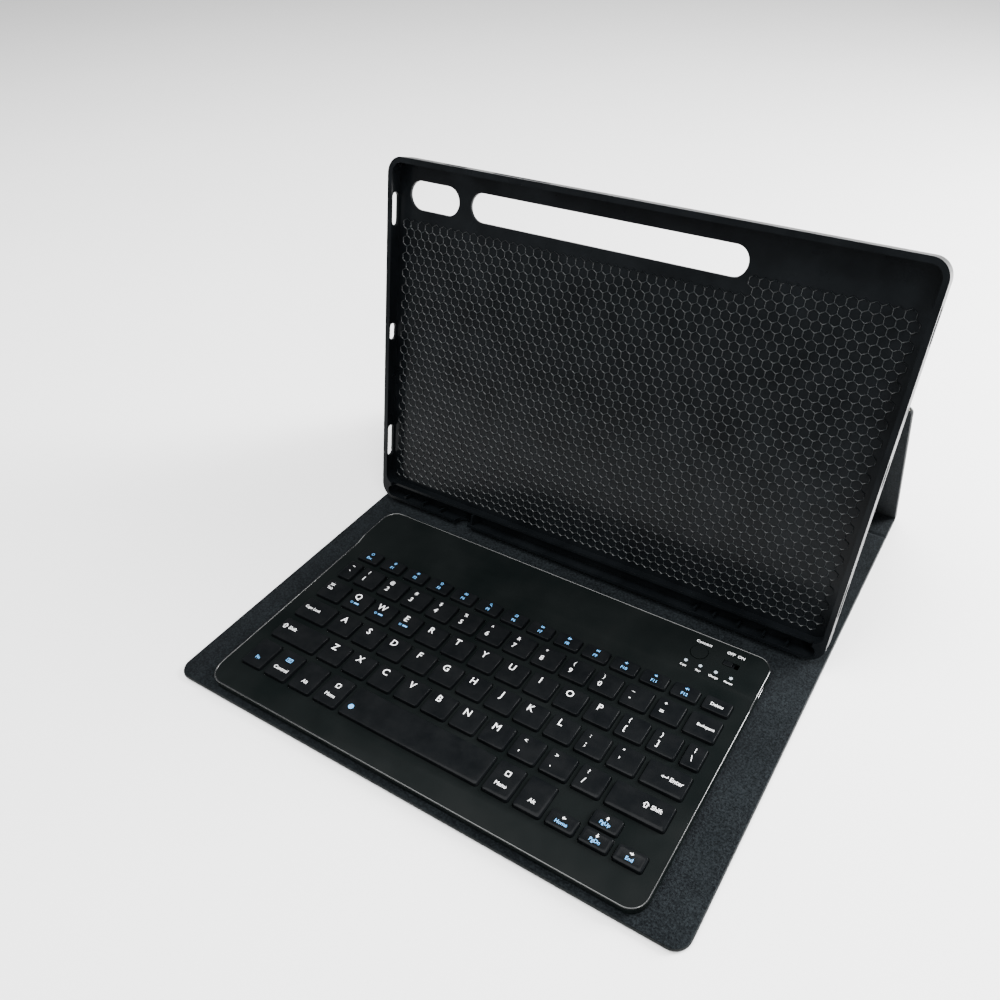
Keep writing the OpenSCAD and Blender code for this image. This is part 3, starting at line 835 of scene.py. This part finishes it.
def letter_legend(white, blue, letter, box):
    x0, y0, x1, y1, top, _ = box
    add_text(white, letter.upper(), x0 + 5.2 * MM, y1 - 5.6 * MM, top, LETTER_H, "centre")
    if letter in BLUE_LETTERS:
        add_shape(blue, ICONS["square"], x0 + 4.2 * MM, y1 - 8.6 * MM, top, 1.5 * MM)
        add_shape(blue, [bar(-0.5, 0, 0.5, 0, 0.3)], x0 + 7.4 * MM, y1 - 8.6 * MM, top, 3 * MM)


def build_key(node, legend):
    """One CAD key node becomes caps with their printed legends, all riding on the node's body."""
    body = nodes[node]["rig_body"]
    boxes = key_boxes(node)
    bm = bmesh.new()
    for box in boxes:
        keycap(bm, box)
    piece = object_from(bm, f"{node}_cap", LOOKS["key_black"], 50)
    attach(piece, body)
    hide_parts(node)
    white, blue = bmesh.new(), bmesh.new()
    legend(white, blue, boxes)
    for colour, ink, part in ((white, INK_WHITE, "print"), (blue, INK_BLUE, "blue_print")):
        if colour.faces:
            printed = object_from(colour, f"{node}_{part}", ink, 20)
            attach(printed, body)
        else:
            colour.free()
    return piece


def word_legend(word, icon=None, right=False, height=SMALL_H):
    """A word near one end of the key, with an icon beyond it on the right or above it on the left."""
    def draw(white, blue, boxes):
        x0, y0, x1, y1, top, _ = boxes[0]
        if right:
            add_text(white, word, x1 - 2.3 * MM, y1 - 7.2 * MM, top, height, "right")
            icon_at = (x1 - 11.6 * MM, y1 - 6.2 * MM)
        else:
            add_text(white, word, x0 + 2.3 * MM, y1 - 7.0 * MM, top, height)
            icon_at = (x0 + 3.9 * MM, y1 - 3.4 * MM)
        if icon:
            add_shape(white, ICONS[icon], *icon_at, top, 2.4 * MM)
    return draw


def function_legend(white, blue, boxes):
    for box, icon, word in zip(boxes, FUNCTION_ICONS, FUNCTION_WORDS):
        x0, y0, x1, y1, top, _ = box
        middle = (x0 + x1) / 2
        if word == "Delete":
            add_text(white, word, middle, y1 - 5.2 * MM, top, SMALL_H, "centre")
            continue
        add_shape(blue, ICONS[icon], middle, y1 - 2.2 * MM, top, 1.9 * MM)
        add_text(blue, word, middle, y1 - 6.4 * MM, top, SMALL_H, "centre")


def pair_legend(pairs):
    def draw(white, blue, boxes):
        for box, (upper, lower) in zip(boxes, pairs):
            x0, y0, x1, y1, top, _ = box
            x = x0 + min(4.3 * MM, (x1 - x0) / 2)
            add_text(white, upper, x, y1 - 4.2 * MM, top, 2.1 * MM, "centre")
            add_text(white, lower, x, y1 - 9.7 * MM, top, 2.9 * MM, "centre")
    return draw


def shift_legend(white, blue, boxes):
    for box in boxes:
        x0, y0, x1, y1, top, _ = box
        start = x0 + 3.2 * MM if x0 < 0 else x1 - 12.5 * MM
        add_shape(white, ICONS["shift"], start, y1 - 5.5 * MM, top, 2.8 * MM)
        add_text(white, "Shift", start + 2.6 * MM, y1 - 6.4 * MM, top, 2.1 * MM)


def modifier_legend(white, blue, boxes):
    for box, word in zip(boxes, MODIFIER_WORDS):
        x0, y0, x1, y1, top, _ = box
        ink = blue if word == "Fn" else white
        add_text(ink, word, (x0 + x1) / 2, y1 - 12.6 * MM, top, SMALL_H * 1.15, "centre")
        if word == "Menu":
            add_shape(white, ICONS["square"], (x0 + x1) / 2, y1 - 5.4 * MM, top, 3.2 * MM)
        if word == "Control":
            add_shape(blue, ICONS["keys"], (x0 + x1) / 2, y1 - 5.4 * MM, top, 3.4 * MM)


def space_legend(white, blue, boxes):
    x0, y0, x1, y1, top, _ = boxes[0]
    add_shape(blue, [disc(0, 0, 0.5)], x0 + 4.2 * MM, y0 + 5.6 * MM, top, 2.9 * MM)


def arrow_legend(white, blue, boxes):
    for box, icon, word in zip(boxes, ("left", "down", "right", "up"), ("Home", "PgDn", "End", "PgUp")):
        x0, y0, x1, y1, top, _ = box
        middle = (x0 + x1) / 2
        add_shape(white, ICONS[icon], middle, y1 - 2.5 * MM, top, 1.9 * MM)
        add_text(blue, word, middle, y1 - 5.9 * MM, top, SMALL_H, "centre")


def build_keys():
    build_key("space_key", space_legend)
    build_key("enter_key", word_legend("Enter", "enter", right=True, height=2.1 * MM))
    build_key("backspace_key", word_legend("Backspace", right=True, height=1.5 * MM))
    build_key("tab_key", word_legend("Tab", "tab"))
    build_key("caps_lock_key", word_legend("Caps Lock"))
    build_key("shift_keys", shift_legend)
    build_key("function_keys", function_legend)
    build_key("number_keys", pair_legend(NUMBER_WORDS))
    build_key("symbol_keys", pair_legend(SYMBOL_WORDS))
    build_key("modifier_keys", modifier_legend)
    build_key("arrow_keys", arrow_legend)
    for node in sorted(nodes):
        if node.startswith("key_") and len(node) == 5:
            letter = node[-1]
            build_key(node, lambda white, blue, boxes, c=letter: letter_legend(white, blue, c, boxes[0]))


# ---------- marks on the rear housing ----------
def build_housing_marks():
    lights_low, lights_high = corners("status_lights")
    button_low, button_high = corners("connect_button")
    switch_low, switch_high = corners("power_switch")
    top = deck_high.z
    bm = bmesh.new()
    light_r = (lights_high.y - lights_low.y) / 2
    gap = (lights_high.x - lights_low.x - 2 * light_r) / 3
    label_y = (lights_low.y + lights_high.y) / 2 - 3.9 * MM
    for i, word in enumerate(("Caps", "Pair", "Charge", "Power")):
        x = lights_low.x + light_r + gap * i
        add_text(bm, word, x, label_y, top, TINY_H, "centre")
    button_x = (button_low.x + button_high.x) / 2
    label_y = button_high.y + 0.9 * MM
    add_text(bm, "Connect", button_x, label_y, top, SMALL_H, "centre")
    switch_x = (switch_low.x + switch_high.x) / 2 + 1.7 * MM
    add_text(bm, "OFF  ON", switch_x, label_y, top, SMALL_H, "centre")
    piece = object_from(bm, "housing_print", INK_WHITE, 20)
    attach(piece, "keyboard")


DECK_CORNER_R = 9 * MM
BEAD_R = 0.38 * MM


def build_deck_bead():
    """The polished bead that runs round the top edge of the keyboard housing."""
    bm = bmesh.new()
    bm.from_mesh(nodes["keyboard_top"].data)
    tree = BVHTree.FromBMesh(bm)
    bm.free()
    inset = 0.55 * MM
    outline = rounded_loop(deck_low.x + inset, deck_low.y + inset, deck_high.x - inset, deck_high.y - inset,
                           [DECK_CORNER_R - inset] * 4, 10)
    path = []
    for start, end in zip(outline, outline[1:] + outline[:1]):
        count = max(1, round(math.dist(start, end) / (3 * MM)))
        for k in range(count):
            x = start[0] + (end[0] - start[0]) * k / count
            y = start[1] + (end[1] - start[1]) * k / count
            hit = tree.ray_cast(Vector((x, y, 0.05)), Vector((0, 0, -1)))[0]
            path.append(Vector((x, y, hit.z - BEAD_R * 0.35)))
    bead = bmesh.new()
    rings = []
    up = Vector((0, 0, 1))
    for i, here in enumerate(path):
        along = (path[(i + 1) % len(path)] - path[i - 1]).normalized()
        side = along.cross(up).normalized()
        rings.append([bead.verts.new(here + side * BEAD_R * math.cos(a) + up * BEAD_R * math.sin(a))
                      for a in (2 * math.pi * k / 10 for k in range(10))])
    for low, high in zip(rings, rings[1:] + rings[:1]):
        for i in range(10):
            j = (i + 1) % 10
            bead.faces.new((low[i], low[j], high[j], high[i]))
    piece = object_from(bead, "deck_bead", BEAD_LOOK, 80)
    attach(piece, "keyboard")


# ---------- stage ----------
CAMERA_AT = Vector((179.66, -128.59, 333.84)) * MM
CAMERA_AZ = -0.560
CAMERA_EL = 0.770
CAMERA_ROLL = -0.034
CAMERA_LENS = 29.72
CAMERA_SHIFT = (-0.0694, 0.0782)


def build_camera():
    """The camera was solved with y = 0 at the cover's front edge."""
    az, el = CAMERA_AZ, CAMERA_EL
    forward = Vector((math.sin(az) * math.cos(el), math.cos(az) * math.cos(el), -math.sin(el)))
    right = forward.cross(Vector((0, 0, 1))).normalized()
    up = right.cross(forward)
    c, s = math.cos(CAMERA_ROLL), math.sin(CAMERA_ROLL)
    turned_right = right * c + up * s
    turned_up = up * c - right * s
    turn = Matrix((turned_right, turned_up, -forward)).transposed().to_4x4()
    data = bpy.data.cameras.new("camera")
    data.sensor_width = 36
    data.lens = CAMERA_LENS
    data.shift_x, data.shift_y = CAMERA_SHIFT
    camera = link(bpy.data.objects.new("camera", data))
    camera.matrix_world = Matrix.Translation(CAMERA_AT + Vector((0, base_low.y, 0))) @ turn
    SCENE.camera = camera


def area_light(name, at, target, size, power):
    data = bpy.data.lights.new(name, "AREA")
    data.shape = "RECTANGLE"
    data.size, data.size_y = size
    data.energy = power
    lamp = link(bpy.data.objects.new(name, data))
    lamp.location = at
    lamp.rotation_euler = (Vector(target) - Vector(at)).to_track_quat("-Z", "Y").to_euler()


def build_stage():
    floor_mat = Nodes("floor_pale")
    pale = [(0.2, (0.93, 0.93, 0.93)), (0.8, (0.96, 0.96, 0.96))]
    floor_mat.colour(floor_mat.ramp(floor_mat.noise(0.3, 2), pale))
    floor_mat.roughness(floor_mat.range(floor_mat.noise(0.1), 0.75, 0.85))
    bm = bmesh.new()
    bmesh.ops.create_grid(bm, x_segments=8, y_segments=8, size=40)
    floor = object_from(bm, "floor", floor_mat.material)
    floor.location.z = -0.05 * MM
    world = bpy.data.worlds.new("studio")
    world.use_nodes = True
    world.node_tree.nodes["Background"].inputs["Color"].default_value = (1, 1, 1, 1)
    world.node_tree.nodes["Background"].inputs["Strength"].default_value = 0.6
    SCENE.world = world
    area_light("key_light", (0.9, 0.9, 1.1), (0, 0, 0.05), (0.9, 0.9), 26)
    area_light("top_light", (-0.3, -0.2, 1.6), (0, 0, 0), (1.4, 1.4), 62)
    area_light("rim_light", (0.9, 0.75, 0.5), (0.05, 0, 0.03), (0.4, 0.9), 62)
    area_light("corner_light", (0.95, -0.7, 0.78), (0.1, -0.05, 0), (0.4, 0.4), 13)


dress_cad_nodes()
build_cover()
build_honeycomb()
build_keys()
build_housing_marks()
build_deck_bead()
build_camera()
build_stage()
